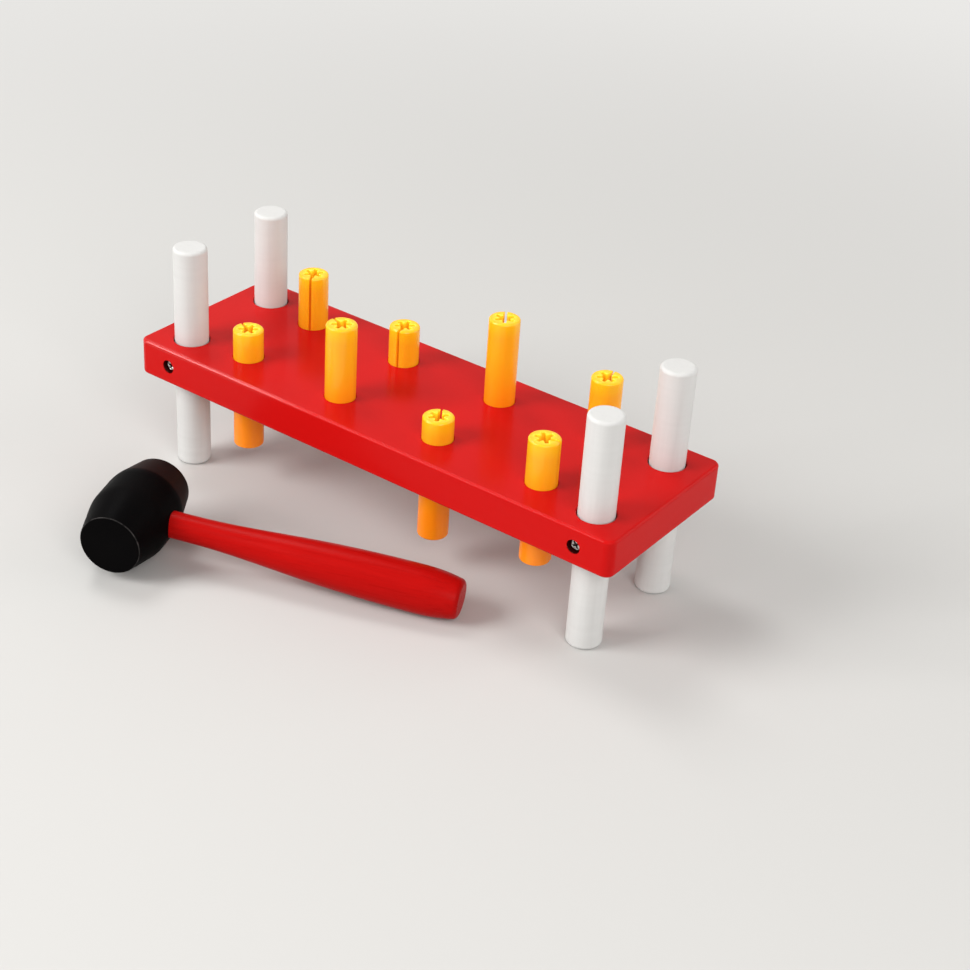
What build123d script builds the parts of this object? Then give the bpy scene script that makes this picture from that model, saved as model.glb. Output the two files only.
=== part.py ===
from build123d import *
import math
import os

# A pounding bench for a small child: a lacquered wooden board on four dowel
# legs, eight split plastic pegs that are knocked through the board, and a
# mallet that lies on the floor in front. The legs stand out as far above the
# board as below it, so the bench is turned over when every peg is down.
#
# Millimetres. X runs along the bench, Y to its back and Z up. The origin lies
# on the floor, under the middle of the space that bench and mallet take up.

# Board
board_length = 300.0
board_width = 99.0
board_thickness = 20.0
board_corner_radius = 5.0
board_edge_radius = 1.6
hole_mouth_chamfer = 0.5

# Legs. The insets run from the board's ends and long edges to the legs' axes.
leg_length = 126.4
leg_diameter = 18.0
leg_end_radius = 1.8
leg_inset_along = 20.7
leg_inset_across = 18.3
leg_hole_clearance = 0.6

# Screws that lock the legs, driven in from the board's long edges
screw_head_diameter = 6.0
screw_head_height = 2.4
screw_head_round = 0.9
screw_shank_diameter = 3.2
screw_shank_length = 15.0
screw_point_length = 3.5
screw_point_radius = 0.3
screw_head_depth = 2.2
counterbore_diameter = 7.4
screw_hole_clearance = 0.05
screw_hole_spare_depth = 0.5
cross_length = 3.6
cross_width = 0.8
cross_depth = 1.4

# Pegs, with insets from the board's ends and long edges to the axes of the outer ones
peg_diameter = 16.0
peg_length = 68.0
peg_end_radius = 1.1
peg_hole_clearance = 0.08
peg_column_inset = 56.1
peg_row_inset = 23.7
peg_core_diameter = 5.6
peg_arm_count = 6
peg_arm_width = 2.0
peg_arm_reach = 5.1
peg_arm_corner_radius = 0.4
peg_slit_width = 1.2

# How far each peg is driven up out of the board, as a share of its travel,
# and where its slit faces, in degrees from +X. Both count from the left.
front_rise_shares = (0.335, 0.848, 0.250, 0.508)
back_rise_shares = (0.625, 0.430, 0.970, 0.756)
front_slit_degrees = (158, 162, 115, 16)
back_slit_degrees = (-63, -77, 121, 98)

# Mallet head, a barrel with a short straight band round its middle
head_length = 61.0
head_band_length = 19.8
head_band_diameter = 41.6
head_face_diameter = 31.6
head_rim_radius = 1.2
head_crease_radius = 26.0

# Mallet handle, measured along its own axis from the middle of the head
handle_reach = 172.0
neck_diameter = 14.0
neck_reach = 30.0
swell_diameter = 21.0
swell_reach = 92.0
grip_diameter = 24.7
grip_reach = 150.0
handle_end_diameter = 19.6
handle_end_radius = 2.6
handle_end_slope_share = 0.25
tenon_past_middle = 9.0
tenon_clearance = 0.05

# Where the middle of the mallet's head lies, from the middle of the bench
mallet_left = 87.3
mallet_forward = 117.0
mallet_yaw_degrees = 20.6

# Spare length by which every cut runs past the face that it opens
cut_overrun = 2.0

# Worked out from the sizes above
board_bottom = (leg_length - board_thickness) / 2
board_middle = leg_length / 2
board_top = board_bottom + board_thickness
leg_spacing_along = board_length - 2 * leg_inset_along
leg_spacing_across = board_width - 2 * leg_inset_across
peg_columns = len(front_rise_shares)
peg_pitch = (board_length - 2 * peg_column_inset) / (peg_columns - 1)
peg_row_spacing = board_width - 2 * peg_row_inset
peg_travel = peg_length - board_thickness
peg_radius = peg_diameter / 2
leg_radius = leg_diameter / 2
counterbore_depth = screw_head_depth + screw_head_height

FROM_BOTTOM = (Align.CENTER, Align.CENTER, Align.MIN)
SIDES = {"front": -1, "back": 1}
ENDS = {"left": -1, "right": 1}


def leg_place(end, side):
    """Where a leg's axis meets the floor."""
    return Pos(end * leg_spacing_along / 2, side * leg_spacing_across / 2, 0)


def peg_place(column, side):
    """Where a peg's axis meets the floor, with the columns spread evenly about the middle."""
    along = (column - (peg_columns - 1) / 2) * peg_pitch
    return Pos(along, side * peg_row_spacing / 2, 0)


def screw_place(end, side):
    """A leg screw's frame: on the board's long edge, with +Z pointing into the board."""
    along = end * leg_spacing_along / 2
    return Pos(along, side * board_width / 2, board_middle) * Rot(side * 90, 0, 0)


def rod(radius, start, end):
    """A round rod on the Z axis between two heights."""
    return Pos(0, 0, start) * Cylinder(radius, end - start, align=FROM_BOTTOM)


def screw_cut():
    """The stepped hole for one leg screw: a counterbore for the head, then the shank's bore."""
    bore_radius = screw_shank_diameter / 2 + screw_hole_clearance
    bore_end = counterbore_depth + screw_shank_length + screw_hole_spare_depth
    head_bore = rod(counterbore_diameter / 2, -cut_overrun, counterbore_depth)
    return head_bore + rod(bore_radius, 0, bore_end)


def bench_board():
    """A slab with soft edges, eight peg holes, four leg holes and four screw holes."""
    slab = extrude(RectangleRounded(board_length, board_width, board_corner_radius), board_thickness)
    rims = slab.edges().filter_by(Axis.Z, reverse=True)
    slab = Pos(0, 0, board_bottom) * fillet(rims, board_edge_radius)

    peg_hole = rod(peg_radius + peg_hole_clearance, board_bottom - cut_overrun, board_top + cut_overrun)
    leg_hole = rod(leg_radius + leg_hole_clearance, board_bottom - cut_overrun, board_top + cut_overrun)
    for side in SIDES.values():
        for column in range(peg_columns):
            slab -= peg_place(column, side) * peg_hole
        for end in ENDS.values():
            slab -= leg_place(end, side) * leg_hole

    mouths = [edge for edge in slab.edges().filter_by(GeomType.CIRCLE) if edge.is_closed]
    slab = chamfer(mouths, hole_mouth_chamfer)
    for side in SIDES.values():
        for end in ENDS.values():
            slab -= screw_place(end, side) * screw_cut()
    return slab


def leg(end, side):
    """A dowel with rounded ends, bored at its middle for its screw."""
    dowel = rod(leg_radius, 0, leg_length)
    dowel = fillet(dowel.edges().filter_by(GeomType.CIRCLE), leg_end_radius)
    return leg_place(end, side) * dowel - screw_place(end, side) * screw_cut()


def leg_screw():
    """A cross-head screw, sunk below the edge that it is driven into."""
    shank_radius = screw_shank_diameter / 2
    shank_end = counterbore_depth + screw_shank_length
    head = rod(screw_head_diameter / 2, screw_head_depth, counterbore_depth)
    head = fillet(head.edges().filter_by(GeomType.CIRCLE).sort_by(Axis.Z)[0], screw_head_round)
    cross = Rectangle(cross_length, cross_width) + Rectangle(cross_width, cross_length)
    recess = extrude(Pos(0, 0, screw_head_depth) * cross, cross_depth)
    shank = rod(shank_radius, counterbore_depth, shank_end - screw_point_length)
    point = Pos(0, 0, shank_end - screw_point_length) * Cone(
        shank_radius, screw_point_radius, screw_point_length, align=FROM_BOTTOM
    )
    return head - recess + shank + point


def leg_screws():
    """The four like screws, one to a leg."""
    places = [screw_place(end, side) for side in SIDES.values() for end in ENDS.values()]
    return Compound([place * leg_screw() for place in places])


def peg_section():
    """The hollow of a peg: a round core, short arms round it, and one arm open through the wall."""
    arm = Pos(peg_arm_reach / 2, 0) * RectangleRounded(peg_arm_reach, peg_arm_width, peg_arm_corner_radius)
    slit_length = peg_radius + cut_overrun
    slit = Pos(slit_length / 2, 0) * Rectangle(slit_length, peg_slit_width)
    hollow = Circle(peg_core_diameter / 2) + slit
    for turn in PolarLocations(0, peg_arm_count):
        hollow += turn * arm
    return hollow


def peg(column, side, rise_share, slit_degrees):
    """A split peg, driven up by a share of its travel, with its slit turned to where it faces."""
    body = rod(peg_radius, 0, peg_length)
    body = fillet(body.edges().filter_by(GeomType.CIRCLE), peg_end_radius)
    hollow = extrude(Pos(0, 0, -cut_overrun) * peg_section(), peg_length + 2 * cut_overrun)
    foot = board_bottom - peg_travel * (1 - rise_share)
    return peg_place(column, side) * Pos(0, 0, foot) * Rot(0, 0, slit_degrees) * (body - hollow)


def mallet_head():
    """A barrel turned about Y, with flat faces, soft rims and a blind socket for the handle."""
    band = head_band_length / 2
    half = head_length / 2
    outline = Polyline(
        (0, -half),
        (head_face_diameter / 2, -half),
        (head_band_diameter / 2, -band),
        (head_band_diameter / 2, band),
        (head_face_diameter / 2, half),
        (0, half),
        close=True,
    )
    barrel = revolve(make_face(outline), Axis.Y)
    creases = barrel.edges().filter_by(GeomType.CIRCLE).sort_by(Axis.Y)[1:-1]
    barrel = fillet(creases, head_crease_radius)
    rings = barrel.edges().filter_by(GeomType.CIRCLE).sort_by(Axis.Y)
    barrel = fillet([rings[0], rings[-1]], head_rim_radius)
    socket = rod(neck_diameter / 2 + tenon_clearance, -tenon_past_middle, head_band_diameter)
    return barrel - Rot(0, 90, 0) * socket


def mallet_handle():
    """A turned handle on the X axis: a straight tenon and neck, a slow swell to the grip, a blunt end."""
    neck = neck_diameter / 2
    neck_end = (neck_reach, neck)
    middle = (swell_reach, swell_diameter / 2)
    fullest = (grip_reach, grip_diameter / 2)
    tip = (handle_reach, handle_end_diameter / 2)
    tenon_corner = (-tenon_past_middle, neck)
    outline = Polyline(tip, (handle_reach, 0), (-tenon_past_middle, 0), tenon_corner, neck_end)
    outline += Spline(neck_end, middle, fullest, tangents=[(1, 0), (1, 0)])
    outline += Spline(fullest, tip, tangents=[(1, 0), (1, -handle_end_slope_share)])
    turned = revolve(make_face(outline), Axis.X)
    end_ring = turned.edges().filter_by(GeomType.CIRCLE).sort_by(Axis.X)[-1]
    return fillet(end_ring, handle_end_radius)


def mallet_place():
    """The mallet lies on its head's band and on the fullest ring of its grip."""
    band_radius = head_band_diameter / 2
    grip_radius = grip_diameter / 2
    to_ring = math.hypot(grip_reach, grip_radius)
    tilt = math.degrees(math.asin(band_radius / to_ring) - math.atan2(grip_radius, grip_reach))
    return Pos(-mallet_left, -mallet_forward, band_radius) * Rot(0, 0, mallet_yaw_degrees) * Rot(0, tilt, 0)


def mallet():
    """Head and handle where they lie, raised by the hair by which the grip's curve dips below the floor."""
    pieces = {"mallet_head": mallet_head(), "mallet_handle": mallet_handle()}
    pieces = {name: mallet_place() * piece for name, piece in pieces.items()}
    dip = min(piece.bounding_box().min.Z for piece in pieces.values())
    return {name: Pos(0, 0, -dip) * piece for name, piece in pieces.items()}


def whole_set():
    """Every piece by name, about the middle of the bench."""
    pieces = {"bench_board": bench_board(), "leg_screws": leg_screws()}
    for side_name, side in SIDES.items():
        for end_name, end in ENDS.items():
            pieces[f"leg_{side_name}_{end_name}"] = leg(end, side)
    rows = {"front": (front_rise_shares, front_slit_degrees), "back": (back_rise_shares, back_slit_degrees)}
    for side_name, (rise_shares, slit_degrees) in rows.items():
        for column, (rise_share, degrees) in enumerate(zip(rise_shares, slit_degrees)):
            name = f"peg_{side_name}_{column + 1}"
            pieces[name] = peg(column, SIDES[side_name], rise_share, degrees)
    pieces.update(mallet())
    return pieces


pieces = whole_set()
space = Compound(list(pieces.values())).bounding_box()
to_origin = Pos(-space.center().X, -space.center().Y, -space.min.Z)
os.makedirs("parts", exist_ok=True)
for name, piece in pieces.items():
    export_step(to_origin * piece, f"parts/{name}.step")
print("size", space.size)
print("the middle of the bench lies at", to_origin.position)
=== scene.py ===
import math

import bpy
import numpy as np
from mathutils import Matrix, Vector


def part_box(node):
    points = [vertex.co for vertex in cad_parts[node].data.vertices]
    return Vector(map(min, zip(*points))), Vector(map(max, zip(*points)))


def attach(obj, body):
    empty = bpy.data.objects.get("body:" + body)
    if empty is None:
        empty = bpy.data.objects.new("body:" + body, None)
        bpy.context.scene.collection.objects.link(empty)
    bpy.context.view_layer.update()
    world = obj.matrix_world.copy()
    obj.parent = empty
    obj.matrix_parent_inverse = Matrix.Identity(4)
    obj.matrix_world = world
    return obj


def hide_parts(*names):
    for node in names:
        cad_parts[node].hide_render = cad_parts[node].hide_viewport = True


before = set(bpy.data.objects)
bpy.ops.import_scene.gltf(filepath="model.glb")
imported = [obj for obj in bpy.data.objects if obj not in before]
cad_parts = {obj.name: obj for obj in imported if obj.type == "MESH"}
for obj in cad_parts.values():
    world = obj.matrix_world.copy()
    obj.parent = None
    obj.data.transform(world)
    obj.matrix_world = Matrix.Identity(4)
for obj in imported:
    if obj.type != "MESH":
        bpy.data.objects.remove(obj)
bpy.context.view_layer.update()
MM = 0.001

# Bench board
# A slab of solid beech, drilled, with its edges rounded over, then sprayed all over with red
# gloss lacquer. The grain still shows faintly through it, as low ridges along the board.
BOARD_RED = (0.49, 0.0046, 0.0042, 1)
BOARD_PORE_RED = (0.41, 0.0036, 0.0034, 1)
BOARD_BORE_SHADE_RED = (0.030, 0.0020, 0.0018, 1)
BOARD_GRAIN = (30, 420, 420)
BOARD_GRAIN_HEIGHT = 0.004 * MM
BOARD_PORE_SHARE = 0.2
BOARD_CLOUD_SCALE = 9
BOARD_CLOUD_SHARE = 0.3
BOARD_PEEL_SCALE = 240
BOARD_PEEL_HEIGHT = 0.004 * MM
BOARD_ROUGHNESS = 0.22
BOARD_ROUGHNESS_SPREAD = 0.12
BOARD_COAT = 0.02
BOARD_EDGE = 2.0 * MM
BOARD_EDGE_COAT = 0.5
BOARD_EDGE_DULL_FROM = -20 * MM
BOARD_EDGE_BRIGHT_FROM = -100 * MM
SCREW_BORE_RADIUS = 3.9 * MM
SCREW_BORE_LIP = 0.2 * MM
SCREW_BORE_SHADE = 0.5 * MM


class Link:
    """A socket of a material's nodes. An expression on links adds Math nodes, and node() any other."""

    def __init__(self, tree, socket=None):
        self.tree = tree
        self.socket = socket

    def node(self, kind, settings=None, inputs=None, output=0):
        """Adds a node: its settings are set first, then the values or links of its sockets."""
        made = self.tree.nodes.new("ShaderNode" + kind)
        for name, value in (settings or {}).items():
            setattr(made, name, value)
        for name, value in (inputs or {}).items():
            if isinstance(value, Link):
                self.tree.links.new(value.socket, made.inputs[name])
            else:
                made.inputs[name].default_value = value
        return Link(self.tree, made.outputs[output])

    def maths(self, operation, first, second=0):
        return self.node("Math", {"operation": operation}, {0: first, 1: second})

    def mix(self, share, first, second):
        """The colour that lies that share of the way from the first to the second.

        A Mix node has its colours at sockets 6 and 7, and gives theirs at output 2.
        """
        return self.node("Mix", {"data_type": "RGBA"}, {0: share, 6: first, 7: second}, 2)

    def place(self):
        """The point's Object coordinates, in metres."""
        return self.node("TexCoord", output="Object")

    def attribute(self, name):
        """A number that the mesh holds at each of its points."""
        return self.node("Attribute", {"attribute_name": name}, output="Fac")

    def noise(self, scale, detail=2.0, stretch=(1, 1, 1), turn=(0, 0, 0), roughness=0.5):
        """Noise from 0 to 1 on Object coordinates, in cycles to the metre."""
        place = self.node("Mapping", inputs={"Vector": self.place(), "Rotation": turn})
        place = self.node("Mapping", inputs={"Vector": place, "Scale": stretch})
        return self.node("TexNoise", inputs={
            "Vector": place, "Scale": scale, "Detail": detail, "Roughness": roughness})

    def spread(self, width):
        """The noise moved to lie about 0, half the width to each side."""
        return (self - 0.5) * width

    def hollows(self):
        """The share of the noise's low spots: 1 less the noise, cubed."""
        return (1 - self) ** 3

    def clamped(self):
        """The value kept between 0 and 1."""
        return self.node("Clamp", inputs={0: self})

    def smooth_step(self, start, end):
        """0 at the start and 1 at the end, and a smooth step between them."""
        return self.node("MapRange", {"interpolation_type": "SMOOTHSTEP"}, {
            "Value": self, "From Min": start, "From Max": end})

    def bump(self, height):
        """A normal tilted by a height in metres."""
        return self.node("Bump", inputs={"Height": height, "Distance": 1.0, "Strength": 1.0})

    def __add__(self, other):
        return self.maths("ADD", self, other)

    def __radd__(self, other):
        return self.maths("ADD", other, self)

    def __sub__(self, other):
        return self.maths("SUBTRACT", self, other)

    def __rsub__(self, other):
        return self.maths("SUBTRACT", other, self)

    def __mul__(self, other):
        return self.maths("MULTIPLY", self, other)

    def __rmul__(self, other):
        return self.maths("MULTIPLY", other, self)

    def __truediv__(self, other):
        return self.maths("DIVIDE", self, other)

    def __pow__(self, other):
        return self.maths("POWER", self, other)

    def __abs__(self):
        return self.maths("ABSOLUTE", self)


def new_material(name):
    """An empty material, and a link that adds nodes to it."""
    made = bpy.data.materials.new(name)
    made.use_nodes = True
    made.node_tree.nodes.clear()
    return made, Link(made.node_tree)


def close_material(link, **inputs):
    """Ends a material in one Principled shader, with its sockets given by their names."""
    shader = link.node("BsdfPrincipled", inputs={
        name.replace("_", " "): value for name, value in inputs.items()})
    output = link.tree.nodes.new("ShaderNodeOutputMaterial")
    link.tree.links.new(shader.socket, output.inputs["Surface"])


def lacquered_board():
    """Red gloss lacquer over beech: faint grain ridges along X, soft orange peel, painted shade in the
    screw bores.

    A point is in a screw bore where it lies within the bore's radius of a leg's axis along X and of
    the board's middle height, and deeper than a narrow lip below the board's long edge. The gloss
    is strongest on the rounded upper edges, towards the left end.
    """
    made, link = new_material("lacquered_board")
    grain = link.noise(1, 3, BOARD_GRAIN)
    cloud = link.noise(BOARD_CLOUD_SCALE, 3)
    peel = link.noise(BOARD_PEEL_SCALE)
    share = grain.hollows() * BOARD_PORE_SHARE + cloud.spread(BOARD_CLOUD_SHARE)
    colour = link.mix(share, BOARD_RED, BOARD_PORE_RED)

    low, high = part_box("bench_board")
    leg_low, leg_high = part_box("leg_front_right")
    place = link.place()
    x, y, z = [link.node("SeparateXYZ", inputs={0: place}, output=axis) for axis in "XYZ"]
    along = abs(x) - (leg_low.x + leg_high.x) / 2
    up = z - (low.z + high.z) / 2
    away = link.maths("SQRT", along ** 2 + up ** 2)
    inward = (high.y - low.y) / 2 - abs(y - (low.y + high.y) / 2)
    # Painted shade: the screw bores are darkened, as shade falls deep in them.
    near = link.maths("LESS_THAN", away, SCREW_BORE_RADIUS)
    shade = ((inward - SCREW_BORE_LIP) / SCREW_BORE_SHADE).clamped() * near
    colour = link.mix(shade, colour, BOARD_BORE_SHADE_RED)

    at_side = link.maths("LESS_THAN", inward, BOARD_EDGE)
    on_edge = at_side * link.maths("LESS_THAN", high.z - z, BOARD_EDGE)
    left = x.smooth_step(BOARD_EDGE_DULL_FROM, BOARD_EDGE_BRIGHT_FROM)
    close_material(
        link, Base_Color=colour, Roughness=BOARD_ROUGHNESS + cloud.spread(BOARD_ROUGHNESS_SPREAD),
        Specular_IOR_Level=0.06, Coat_Weight=BOARD_COAT + on_edge * left * BOARD_EDGE_COAT,
        Coat_Roughness=0.08, Normal=link.bump(grain * BOARD_GRAIN_HEIGHT + peel * BOARD_PEEL_HEIGHT))
    return made


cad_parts["bench_board"].material_slots[0].material = lacquered_board()

# Legs
# Four beech dowels with rounded ends, dipped in white satin lacquer, which follows their grain and
# the turning rings. They pass through the board and are locked there by one screw each.
LEG_WHITE = (0.59, 0.583, 0.568, 1)
LEG_GREY = (0.48, 0.472, 0.457, 1)
LEG_GRAIN = (520, 520, 26)
LEG_GRAIN_HEIGHT = 0.030 * MM
LEG_HOLLOW_SHARE = 0.6
LEG_RINGS = (30, 30, 420)
LEG_RING_HEIGHT = 0.020 * MM
LEG_RING_SHARE = 0.3
LEG_CLOUD_SCALE = 40
LEG_CLOUD_SHARE = 0.3
LEG_ROUGHNESS = 0.46
LEG_ROUGHNESS_SPREAD = 0.2


def lacquered_dowel():
    """White satin lacquer: grain along Z, faint rings round it, a shade greyer in the hollows."""
    made, link = new_material("lacquered_dowel")
    grain = link.noise(1, 4, LEG_GRAIN, roughness=0.6)
    rings = link.noise(1, 1, LEG_RINGS)
    cloud = link.noise(LEG_CLOUD_SCALE, 3)
    share = grain.hollows() * LEG_HOLLOW_SHARE + rings.spread(LEG_RING_SHARE)
    close_material(
        link, Base_Color=link.mix(share + cloud.spread(LEG_CLOUD_SHARE), LEG_WHITE, LEG_GREY),
        Roughness=LEG_ROUGHNESS + cloud.spread(LEG_ROUGHNESS_SPREAD), Specular_IOR_Level=0.2,
        Normal=link.bump(grain * LEG_GRAIN_HEIGHT + rings * LEG_RING_HEIGHT))
    return made


dowel_finish = lacquered_dowel()
for name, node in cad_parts.items():
    if name.startswith("leg_") and name != "leg_screws":
        node.material_slots[0].material = dowel_finish

# Leg screws
# Four cross-head wood screws of bright zinc-plated steel, cold-headed, with a stamped cross and a
# rolled thread. Each is driven into a leg from the board's long edge until its head lies sunk.
ZINC = (0.74, 0.73, 0.70, 1)
ZINC_DULL = (0.50, 0.50, 0.48, 1)
ZINC_RECESS_SHADE = (0.035, 0.033, 0.030, 1)
ZINC_RECESS_SHADE_SHARE = 1.6
ZINC_CLOUD_SCALE = 900
ZINC_CLOUD_HEIGHT = 0.01 * MM
ZINC_ROUGHNESS = 0.20
ZINC_CLOUD_ROUGHNESS = 0.20
SCREW_HEAD_RADIUS = 3.0 * MM
SCREW_HEAD_HEIGHT = 2.4 * MM
SCREW_HEAD_ROUND = 0.9 * MM
CROSS_REACH = 2.0 * MM
CROSS_HALF_WIDTH = 0.48 * MM
CROSS_DEPTH = 1.4 * MM
CROSS_BOWL_SHARE = 0.45
THREAD_CREST = 1.6 * MM
THREAD_ROOT = 1.15 * MM
THREAD_PITCH = 1.4 * MM
THREAD_STEEPNESS = 2.4
SHANK_LENGTH = 15.0 * MM
POINT_LENGTH = 3.5 * MM
POINT_RADIUS = 0.3 * MM
SCREW_SUNK = 2.2 * MM
SCREW_TURNS = (12, 57, -20, 33)
RING_POINTS = 96
FACE_RINGS = 39
EDGE_RINGS = 6
SHANK_RINGS = 220


def add_mesh(name, points, faces, material):
    """A smooth-shaded piece from points in metres and faces, and its own material."""
    mesh = bpy.data.meshes.new(name)
    mesh.from_pydata(points.tolist(), [], faces)
    mesh.polygons.foreach_set("use_smooth", np.ones(len(mesh.polygons), bool))
    mesh.materials.append(material)
    piece = bpy.data.objects.new(name, mesh)
    bpy.context.scene.collection.objects.link(piece)
    return piece


def set_share(piece, name, values):
    """Gives each point of a piece its number, for the material to read by that name."""
    piece.data.attributes.new(name, "FLOAT", "POINT").data.foreach_set("value", values)


def quads_between(rows, columns, wrap=False):
    """The quads of a grid of points, stored row after row. wrap joins the last column to the first."""
    steps = columns if wrap else columns - 1
    row, column = np.meshgrid(np.arange(rows - 1), np.arange(steps), indexing="ij")
    here = row * columns + column
    right = row * columns + (column + 1) % columns
    return np.stack([here, right, right + columns, here + columns], -1).reshape(-1, 4)


def zinc_plate():
    """Bright plated steel, clouded, with painted shade darkening the stamped cross."""
    made, link = new_material("zinc_plate")
    cloud = link.noise(ZINC_CLOUD_SCALE, 4)
    # Painted shade: the cross recess is darkened, as shade falls in it.
    recess_shade = (link.attribute("pressed_share") * ZINC_RECESS_SHADE_SHARE).clamped()
    close_material(
        link, Base_Color=link.mix(recess_shade, link.mix(cloud, ZINC_DULL, ZINC), ZINC_RECESS_SHADE), Metallic=1.0,
        Roughness=ZINC_ROUGHNESS + cloud * ZINC_CLOUD_ROUGHNESS,
        Normal=link.bump(cloud * ZINC_CLOUD_HEIGHT))
    return made


def screw_surface():
    """A screw with its head's top at the origin and its point towards +Z, as rings round Z.

    The head is a flat disc with a quarter-round edge, pressed in by a cross whose walls slope
    as a smooth step of the distance to its arms. Below it the radius of each ring swings between
    the thread's root and crest with height over pitch, less the turn, and shrinks to the point.
    One point closes each end.
    """
    around = np.linspace(0, 2 * math.pi, RING_POINTS + 1)[:-1]
    turn = np.linspace(0, math.pi / 2, EDGE_RINGS + 1)[1:]
    flat = SCREW_HEAD_RADIUS - SCREW_HEAD_ROUND
    face_radius = np.linspace(0, flat, FACE_RINGS + 1)[1:]
    edge_radius = flat + SCREW_HEAD_ROUND * np.sin(turn)
    edge_depth = SCREW_HEAD_ROUND * (1 - np.cos(turn))
    radius = np.concatenate([face_radius, edge_radius, [SCREW_HEAD_RADIUS]])
    depth = np.concatenate([0 * face_radius, edge_depth, [SCREW_HEAD_HEIGHT]])
    radius = np.repeat(radius[:, None], RING_POINTS, 1)
    depth = np.repeat(depth[:, None], RING_POINTS, 1)
    along = np.abs(radius * np.cos(around))
    across = np.abs(radius * np.sin(around))
    past_end = np.maximum(along, across) - CROSS_REACH
    past_side = np.minimum(along, across) - CROSS_HALF_WIDTH
    arm = np.maximum(past_end, past_side)
    share = np.clip(0.5 - arm / CROSS_HALF_WIDTH, 0, 1)
    share = share * share * (3 - 2 * share)
    bowl = 1 - np.clip(radius / CROSS_REACH, 0, 1) * CROSS_BOWL_SHARE
    depth = depth + CROSS_DEPTH * share * bowl

    height = np.linspace(0, SHANK_LENGTH, SHANK_RINGS)[:, None]
    wave = np.abs(((height / THREAD_PITCH - around / (2 * math.pi)) % 1) - 0.5) * 2
    ridge = np.clip(1 - THREAD_STEEPNESS * (1 - wave), 0, 1)
    thread = THREAD_ROOT + (THREAD_CREST - THREAD_ROOT) * ridge
    taper = np.clip((SHANK_LENGTH - height) / POINT_LENGTH, 0, 1)
    shank = POINT_RADIUS + (thread - POINT_RADIUS) * taper
    radius = np.concatenate([radius, shank])
    depth = np.concatenate([depth, np.broadcast_to(SCREW_HEAD_HEIGHT + height, shank.shape)])
    points = np.stack([radius * np.cos(around), radius * np.sin(around), depth], -1).reshape(-1, 3)
    ends = np.array([[0, 0, CROSS_DEPTH], [0, 0, SCREW_HEAD_HEIGHT + SHANK_LENGTH]])
    points = np.concatenate([points, ends])
    pressed = np.concatenate([share.ravel(), np.zeros(shank.size), [1.0, 0.0]])

    rows = len(radius)
    faces = quads_between(rows, RING_POINTS, True).tolist()
    step = np.arange(RING_POINTS)
    after = (step + 1) % RING_POINTS
    last = (rows - 1) * RING_POINTS
    top = np.full(RING_POINTS, len(points) - 2)
    tip = np.full(RING_POINTS, len(points) - 1)
    faces += np.stack([top, after, step], -1).tolist()
    faces += np.stack([last + step, last + after, tip], -1).tolist()
    return points, faces, pressed


def screw_in_leg(name, leg, side, turn_degrees, material):
    """One screw, turned so that +Z points into the board's edge, and set at its leg's axis."""
    points, faces, pressed = screw_surface()
    turn = math.radians(turn_degrees)
    spun = points @ np.array(Matrix.Rotation(turn, 3, "Z")).T
    spun[:, 2] += SCREW_SUNK
    low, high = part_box(leg)
    board_low, board_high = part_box("bench_board")
    edge = board_low.y if side < 0 else board_high.y
    spot = np.array([(low.x + high.x) / 2, edge, (board_low.z + board_high.z) / 2])
    placed = np.stack([side * spun[:, 0], -side * spun[:, 2], spun[:, 1]], -1) + spot
    screw = add_mesh(name, placed, faces, material)
    set_share(screw, "pressed_share", pressed)
    return screw


zinc_finish = zinc_plate()
corners = [("front_left", -1), ("front_right", -1), ("back_left", 1), ("back_right", 1)]
for (corner, side), degrees in zip(corners, SCREW_TURNS):
    screw = screw_in_leg(f"leg_screw_{corner}", f"leg_{corner}", side, degrees, zinc_finish)
    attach(screw, "bench")
    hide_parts("leg_screws")

# Pegs
# Eight split pegs moulded in yellow plastic, rounded at every edge. A six-armed star runs through
# the core, and one arm opens through the wall as a slit, so that the peg springs and grips its hole.
PEG_YELLOW = (0.83, 0.395, 0.012, 1)
PEG_DEEP_YELLOW = (0.83, 0.345, 0.009, 1)
PEG_LIT_TOP_YELLOW = (0.84, 0.475, 0.007, 1)
PEG_LIT_HOLLOW_YELLOW = (0.93, 0.62, 0.024, 1)
PEG_SHADED_LOW_ORANGE = (0.90, 0.255, 0.006, 1)
PEG_TOP_GLOW = (0.09, 0.050, 0.002, 1)
PEG_GLOW = (0.14, 0.038, 0.002, 1)
PEG_SKIN_GLOW = (0.05, 0.007, 0.0, 1)
PEG_RADIUS = 8.0 * MM
PEG_RIM = 1.1 * MM
ARM_HALF_WIDTH = 1.0 * MM
ARM_REACH = 5.1 * MM
ARM_CORNER = 0.3 * MM
TOOTH_TIP = 0.7 * MM
SLIT_HALF_WIDTH = 0.6 * MM
SLIT_CORNER = 0.4 * MM
SLIT_FLARE = 0.25 * MM
HOLLOW_ROUND = 0.3 * MM
ARMS = 6
CORNER_POINTS = 5
ARM_SIDE_SHARES = (0.45, 0.78)
RIM_LEVELS = 10
MIDDLE_LEVELS = 4
LIT_TOP_START_SHARE = 0.87
SHADED_LOW_START_SHARE = 0.78
SHADED_LOW_END_SHARE = 0.14
PEG_FLOW = (90, 90, 14)
PEG_FLOW_SHARE = 0.6
PEG_FLOW_HEIGHT = 0.008 * MM
PEG_SCUFF_SCALE = 700
PEG_ROUGHNESS = 0.24
PEG_FLOW_ROUGHNESS = 0.10
PEG_SCUFF_ROUGHNESS = 0.06
SLIT_DEGREES = {
    "peg_front_1": 158, "peg_front_2": 162, "peg_front_3": 115, "peg_front_4": 16,
    "peg_back_1": -63, "peg_back_2": -77, "peg_back_3": 121, "peg_back_4": 98,
}


def arc(x, y, radius, first, last, steps):
    """Points on an arc about (x, y), from one angle in degrees to another."""
    angle = np.radians(np.linspace(first, last, steps))
    return np.stack([x + radius * np.cos(angle), y + radius * np.sin(angle)], -1)


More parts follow.
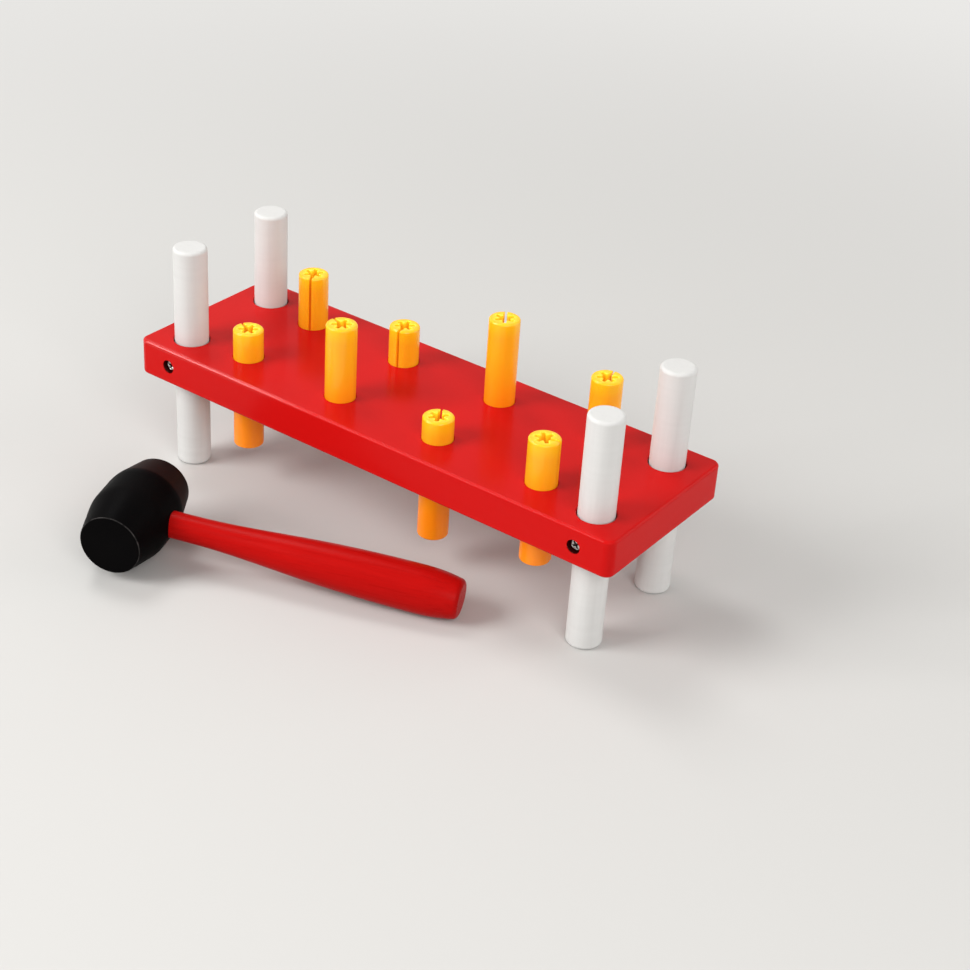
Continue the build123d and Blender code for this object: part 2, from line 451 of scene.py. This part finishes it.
def half_arm(inset):
    """Half an arm of the star along +X, from its end to the middle of the next tooth's tip.

    The solid has drawn back by the inset. The arm's end corner and the tooth's tip are arcs
    whose centres stay, and whose radii grow or shrink with the inset.
    """
    corner = arc(
        ARM_REACH - ARM_CORNER, ARM_HALF_WIDTH - ARM_CORNER, ARM_CORNER + inset, 0, 90, CORNER_POINTS)
    half_gap = math.pi / ARMS
    tip = (ARM_HALF_WIDTH + TOOTH_TIP) / math.sin(half_gap)
    tooth = arc(
        tip * math.cos(half_gap), tip * math.sin(half_gap), TOOTH_TIP - inset, 270, 270 - 360 / ARMS,
        CORNER_POINTS)
    side = corner[-1] + (tooth[0] - corner[-1]) * np.array(ARM_SIDE_SHARES)[:, None]
    middle = np.array([[ARM_REACH + inset, 0]])
    return np.concatenate([middle, corner, side, tooth])


def turned(points, degrees):
    """Plan points turned about the peg's axis."""
    angle = math.radians(degrees)
    turn = np.array([[math.cos(angle), -math.sin(angle)], [math.sin(angle), math.cos(angle)]])
    return points @ turn.T


def hollow_outline(inset):
    """Half the star from the slit to the arm across, with the slit's arm flared into the slit."""
    half = half_arm(inset)
    mirrored = half[::-1] * np.array([1, -1])
    slit_end = np.array([
        [ARM_REACH + SLIT_FLARE, SLIT_HALF_WIDTH + inset],
        [ARM_REACH - SLIT_FLARE, ARM_HALF_WIDTH + inset],
    ])
    parts = [slit_end, half[1 + CORNER_POINTS:]]
    for arm in range(1, ARMS // 2 + 1):
        parts.append(turned(mirrored, arm * 360 / ARMS)[1:])
        if arm < ARMS // 2:
            parts.append(turned(half, arm * 360 / ARMS)[1:])
    return np.concatenate(parts)


def wall_outline(rim_inset, inset, angles):
    """Half the outer wall: a rounded corner at the slit, then the circle at the given angles."""
    radius = SLIT_CORNER - inset
    height = SLIT_HALF_WIDTH + SLIT_CORNER
    reach = PEG_RADIUS - rim_inset - radius
    along = math.sqrt(reach * reach - height * height)
    meets = math.degrees(math.atan2(height, along))
    corner = arc(along, height, radius, -90, meets, CORNER_POINTS)
    circle = (PEG_RADIUS - rim_inset) * np.stack([np.cos(angles), np.sin(angles)], -1)
    return np.concatenate([corner, circle[CORNER_POINTS:]])


def peg_surface(length):
    """A peg that stands on the origin, as closed loops across its wall, in turn from the slit.

    A level at height z has the rim drawn back by radius - sqrt(radius^2 - (radius - z)^2), and
    the hollow opened by the same formula with its own smaller radius. Each loop goes up the outer
    wall and down the hollow, and the two loops at the slit are filled in by its flat sides.
    """
    foot = PEG_RIM * (1 - np.cos(np.linspace(0, math.pi / 2, RIM_LEVELS)))
    rise = np.linspace(PEG_RIM, length - PEG_RIM, MIDDLE_LEVELS + 2)[1:-1]
    levels = np.concatenate([foot, rise, length - foot[::-1]])
    from_end = np.minimum(levels, length - levels)

    def drawn_back(radius):
        below = radius - np.minimum(from_end, radius)
        return radius - np.sqrt(radius * radius - below * below)

    plain = hollow_outline(0)
    angles = np.arctan2(plain[:, 1], plain[:, 0]) % (2 * math.pi)
    outer, inner = [], []
    for rim_inset, inset in zip(drawn_back(PEG_RIM), drawn_back(HOLLOW_ROUND)):
        outer.append(wall_outline(rim_inset, inset, angles))
        inner.append(hollow_outline(inset))
    outer, inner = np.array(outer), np.array(inner)
    mirror = np.array([1, -1])
    outer = np.concatenate([outer, outer[:, -2::-1] * mirror], 1)
    inner = np.concatenate([inner, inner[:, -2::-1] * mirror], 1)

    plan = np.concatenate([outer, inner[::-1]])
    height = np.concatenate([levels, levels[::-1]])
    rows, around = plan.shape[:2]
    points = np.concatenate([plan, np.repeat(height[:, None, None], around, 1)], -1)
    points = points.transpose(1, 0, 2).reshape(-1, 3)
    faces = quads_between(around, rows, True)[:, ::-1]
    level = np.arange(len(levels) - 1)
    slit = np.stack([level, rows - 1 - level, rows - 2 - level, level + 1], -1)
    far = slit[:, ::-1] + (around - 1) * rows
    faces = np.concatenate([faces, slit[:, ::-1], far[:, ::-1]])
    inside = np.tile(np.repeat([0.0, 1.0], len(levels)), around)
    return points, faces, points[:, 2] / length, inside


def moulded_yellow():
    """Smooth moulded plastic, with painted light making its top yellower and painted shade with red
    bounce making it more orange towards its foot.

    A painted glow stands for the light that its walls let through, in the hollow and faintly on the
    outside.
    """
    made, link = new_material("moulded_yellow")
    flow = link.noise(1, 2, PEG_FLOW)
    scuffs = link.noise(PEG_SCUFF_SCALE, 3)
    height = link.attribute("height_share")
    inside = link.attribute("inside_share")
    # Painted light: yellower at the top and in its hollow, where the light falls.
    top = height.smooth_step(LIT_TOP_START_SHARE, 1.0)
    colour = link.mix(flow * PEG_FLOW_SHARE, PEG_YELLOW, PEG_DEEP_YELLOW)
    colour = link.mix(top, colour, link.mix(inside, PEG_LIT_TOP_YELLOW, PEG_LIT_HOLLOW_YELLOW))
    # Painted shade and red bounce: more orange towards the foot, under the board.
    colour = link.mix(height.smooth_step(SHADED_LOW_START_SHARE, SHADED_LOW_END_SHARE), colour, PEG_SHADED_LOW_ORANGE)
    # Painted glow: emission for the light let through the walls, strongest in the hollow.
    glow = link.mix(inside, PEG_SKIN_GLOW, link.mix(top, PEG_GLOW, PEG_TOP_GLOW))
    roughness = PEG_ROUGHNESS + flow.spread(PEG_FLOW_ROUGHNESS) + scuffs.spread(PEG_SCUFF_ROUGHNESS)
    close_material(
        link, Base_Color=colour, Roughness=roughness, Specular_IOR_Level=0.33,
        Subsurface_Weight=0.4, Subsurface_Radius=(1.0, 0.6, 0.1), Subsurface_Scale=2.0 * MM,
        Emission_Color=glow, Emission_Strength=1.0, Normal=link.bump(flow * PEG_FLOW_HEIGHT))
    return made


peg_finish = moulded_yellow()
for name, degrees in SLIT_DEGREES.items():
    low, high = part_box(name)
    points, faces, height, inside = peg_surface(high.z - low.z)
    points[:, :2] = turned(points[:, :2], degrees)
    points += np.array([(low.x + high.x) / 2, (low.y + high.y) / 2, low.z])
    peg = add_mesh(f"split_{name}", points, faces.tolist(), peg_finish)
    set_share(peg, "height_share", height)
    set_share(peg, "inside_share", inside)
    even = peg.modifiers.new("even_shading", "WEIGHTED_NORMAL")
    even.keep_sharp = True
    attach(peg, name)
    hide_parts(name)

# Mallet head
# A barrel of turned beech in black satin lacquer, with flat faces. The
# far taper carries a brown painted reflection, and the rims a thin grey painted highlight.
HEAD_BLACK = (0.0013, 0.0012, 0.0014, 1)
HEAD_DULL = (0.0026, 0.0022, 0.0022, 1)
HEAD_REFLECTION_BROWN = (0.016, 0.0062, 0.0052, 1)
HEAD_RIM_HIGHLIGHT_GREY = (0.050, 0.046, 0.044, 1)
MALLET_YAW = math.radians(20.6)
HEAD_HALF_BAND = 10.5 * MM
HEAD_HALF_LENGTH = 30.5 * MM
HEAD_BLEND = 2.0 * MM
HEAD_RIM_WIDTH = 0.6 * MM
HEAD_FACE_DEPTH = 0.2 * MM
HEAD_RIM_BREAK_SCALE = 300
HEAD_RIM_BREAK_SPREAD = 2.0
HEAD_CLOUD_SCALE = 60
HEAD_CLOUD_SHARE = 0.6
HEAD_GRAIN = (420, 24, 420)
HEAD_GRAIN_HEIGHT = 0.03 * MM
HEAD_ROUGHNESS = 0.45
HEAD_CLOUD_ROUGHNESS = 0.16
HEAD_GRAIN_ROUGHNESS = 0.12


def lacquered_head():
    """Black satin lacquer, grained along the barrel, with a brown painted reflection on the far taper
    and a broken grey painted highlight at the rims.

    The distance along the barrel is the far direction's product with the way from its middle.
    """
    made, link = new_material("lacquered_head")
    grain = link.noise(1, 4, HEAD_GRAIN, (0, 0, -MALLET_YAW), 0.6)
    cloud = link.noise(HEAD_CLOUD_SCALE, 3)
    # Noise that breaks up the painted highlight at the rims.
    rim_breaks = (0.5 + link.noise(HEAD_RIM_BREAK_SCALE).spread(HEAD_RIM_BREAK_SPREAD)).clamped()
    low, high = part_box("mallet_head")
    way = link.node("VectorMath", {"operation": "SUBTRACT"}, {
        0: link.place(), 1: tuple((low + high) / 2)})
    far = (-math.sin(MALLET_YAW), math.cos(MALLET_YAW), 0)
    along = link.node("VectorMath", {"operation": "DOT_PRODUCT"}, {0: way, 1: far}, "Value")
    taper = along.smooth_step(HEAD_HALF_BAND, HEAD_HALF_BAND + HEAD_BLEND)
    off_face = link.maths("LESS_THAN", abs(along), HEAD_HALF_LENGTH - HEAD_FACE_DEPTH)
    on_rim = link.maths("GREATER_THAN", abs(along), HEAD_HALF_LENGTH - HEAD_RIM_WIDTH) * off_face
    colour = link.mix(cloud, HEAD_BLACK, HEAD_DULL)
    # Painted reflection: the far taper is tinted brown, as warm light reflects there.
    colour = link.mix(taper * off_face * (cloud * HEAD_CLOUD_SHARE + grain), colour, HEAD_REFLECTION_BROWN)
    # Painted highlight: a thin broken grey line at the rims.
    colour = link.mix(on_rim * rim_breaks, colour, HEAD_RIM_HIGHLIGHT_GREY)
    roughness = HEAD_ROUGHNESS + cloud.spread(HEAD_CLOUD_ROUGHNESS)
    close_material(
        link, Base_Color=colour, Roughness=roughness + grain.spread(HEAD_GRAIN_ROUGHNESS),
        Specular_IOR_Level=0.015, Normal=link.bump(grain * HEAD_GRAIN_HEIGHT))
    return made


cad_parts["mallet_head"].material_slots[0].material = lacquered_head()

# Mallet handle
# Turned beech in red satin lacquer, with a round tenon that is glued into
# the head's socket. It swells to the grip.
HANDLE_RED = (0.41, 0.0040, 0.0032, 1)
HANDLE_DEEP_RED = (0.27, 0.0024, 0.0021, 1)
HANDLE_GRAIN = (30, 760, 760)
HANDLE_GRAIN_HEIGHT = 0.05 * MM
HANDLE_PORE_SHARE = 1.4
HANDLE_CLOUD_SCALE = 30
HANDLE_CLOUD_SHARE = 0.4
HANDLE_FLECK_SCALE = 1100
HANDLE_FLECK_HEIGHT = 0.012 * MM
HANDLE_ROUGHNESS = 0.30
HANDLE_ROUGHNESS_SPREAD = 0.25


def lacquered_handle():
    """Red satin lacquer, with fine open grain along the handle and small raised flecks."""
    made, link = new_material("lacquered_handle")
    grain = link.noise(1, 5, HANDLE_GRAIN, (0, 0, -MALLET_YAW), 0.65)
    cloud = link.noise(HANDLE_CLOUD_SCALE, 3)
    flecks = link.noise(HANDLE_FLECK_SCALE)
    share = grain.hollows() * HANDLE_PORE_SHARE + cloud.spread(HANDLE_CLOUD_SHARE)
    close_material(
        link, Base_Color=link.mix(share, HANDLE_RED, HANDLE_DEEP_RED),
        Roughness=HANDLE_ROUGHNESS + grain.spread(HANDLE_ROUGHNESS_SPREAD), Specular_IOR_Level=0.035,
        Normal=link.bump(grain * HANDLE_GRAIN_HEIGHT + flecks * HANDLE_FLECK_HEIGHT))
    return made


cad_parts["mallet_handle"].material_slots[0].material = lacquered_handle()

# Floor
# Plain pale floor, just under the feet. Far from the bench it fades to the
# backdrop's own colour, for the camera and in what gloss mirrors.
FLOOR_COLOUR = (0.53, 0.522, 0.505, 1)
FLOOR_ROUGHNESS = 0.6
FLOOR_FADE_START = 300 * MM
FLOOR_FADE_END = 1200 * MM
FLOOR_HALF = 6000 * MM
FLOOR_DROP = 0.05 * MM
BACKDROP_COLOUR = (0.83, 0.82, 0.80, 1)


def seen_directly(link):
    """1 for a ray from the camera, off gloss or through glass, and 0 for the light on the object."""
    camera_ray = link.node("LightPath", output="Is Camera Ray")
    glossy_ray = link.node("LightPath", output="Is Glossy Ray")
    transmission_ray = link.node("LightPath", output="Is Transmission Ray")
    return camera_ray + glossy_ray + transmission_ray


def floor_plane():
    """One square of floor under the bench, which fades by a smooth step of the distance from there."""
    corners = np.array([[-1, -1, 0], [1, -1, 0], [1, 1, 0], [-1, 1, 0]], float) * FLOOR_HALF
    corners[:, 2] = -FLOOR_DROP
    mesh = bpy.data.meshes.new("floor")
    mesh.from_pydata(corners.tolist(), [], [(0, 1, 2, 3)])
    floor = bpy.data.objects.new("floor", mesh)
    bpy.context.scene.collection.objects.link(floor)
    made, link = new_material("floor_paint")
    away = link.node("VectorMath", {"operation": "LENGTH"}, {0: link.place()}, "Value")
    fade = away.smooth_step(FLOOR_FADE_START, FLOOR_FADE_END)
    paint = link.node("BsdfPrincipled", inputs={
        "Base Color": FLOOR_COLOUR, "Roughness": FLOOR_ROUGHNESS, "Specular IOR Level": 0.2})
    glow = link.node("Emission", inputs={"Color": BACKDROP_COLOUR, "Strength": 1.0})
    mixed = link.node("MixShader", inputs={0: fade * seen_directly(link), 1: paint, 2: glow})
    output = link.tree.nodes.new("ShaderNodeOutputMaterial")
    link.tree.links.new(mixed.socket, output.inputs["Surface"])
    mesh.materials.append(made)
    return floor


floor_plane()

# Lights
# Four broad soft lamps, high at the left, in front, at the right and low
# behind, in a pale room that itself shows in the backdrop's colour.
TARGET = Vector((0, 0.02, 0.05))


def soft_lamp(name, spot, size, power):
    """A square area lamp that faces the bench."""
    light = bpy.data.lights.new(name, "AREA")
    light.shape = "SQUARE"
    light.size = size
    light.energy = power
    lamp = bpy.data.objects.new(name, light)
    bpy.context.scene.collection.objects.link(lamp)
    aim = (TARGET - Vector(spot)).to_track_quat("-Z", "Y")
    lamp.matrix_world = Matrix.Translation(spot) @ aim.to_matrix().to_4x4()


soft_lamp("key_lamp", spot=(-1.20, 0.35, 2.05), size=0.8, power=18)
soft_lamp("front_lamp", spot=(-1.15, -1.40, 1.20), size=1.1, power=44)
soft_lamp("right_lamp", spot=(1.5, -1.0, 1.20), size=1.2, power=24)
soft_lamp("back_lamp", spot=(1.35, 1.10, 0.75), size=1.2, power=9)

ROOM_COLOUR = (1.0, 0.99, 0.975, 1)
ROOM_LIGHT = 0.41
world = bpy.data.worlds.new("room")
bpy.context.scene.world = world
world.use_nodes = True
world.node_tree.nodes.clear()
room = Link(world.node_tree)
light = room.node("Background", inputs={"Color": ROOM_COLOUR, "Strength": ROOM_LIGHT})
backdrop = room.node("Background", inputs={"Color": BACKDROP_COLOUR, "Strength": 1.0})
mixed = room.node("MixShader", inputs={0: seen_directly(room), 1: light, 2: backdrop})
output = world.node_tree.nodes.new("ShaderNodeOutputWorld")
world.node_tree.links.new(mixed.socket, output.inputs["Surface"])

# Camera
# A long lens, above and to the right of the bench's front. It is rolled a
# little, to the slant at which the bench is seen.
CAMERA_SPOT = (0.5194, -0.6431, 0.5537)
CAMERA_HEADING = math.radians(34.43)
CAMERA_PITCH = math.radians(31.47)
CAMERA_ROLL = math.radians(3.94)
CAMERA_LENS = 72.03
SENSOR = 36.0

camera = bpy.data.cameras.new("camera")
camera.sensor_fit = "HORIZONTAL"
camera.sensor_width = SENSOR
camera.lens = CAMERA_LENS
camera_rig = bpy.data.objects.new("camera", camera)
bpy.context.scene.collection.objects.link(camera_rig)
heading = Matrix.Rotation(CAMERA_HEADING, 4, "Z")
pitch = Matrix.Rotation(math.pi / 2 - CAMERA_PITCH, 4, "X")
roll = Matrix.Rotation(CAMERA_ROLL, 4, "Z")
camera_rig.matrix_world = Matrix.Translation(CAMERA_SPOT) @ heading @ pitch @ roll
bpy.context.scene.camera = camera_rig
bpy.context.scene.view_settings.view_transform = "Standard"
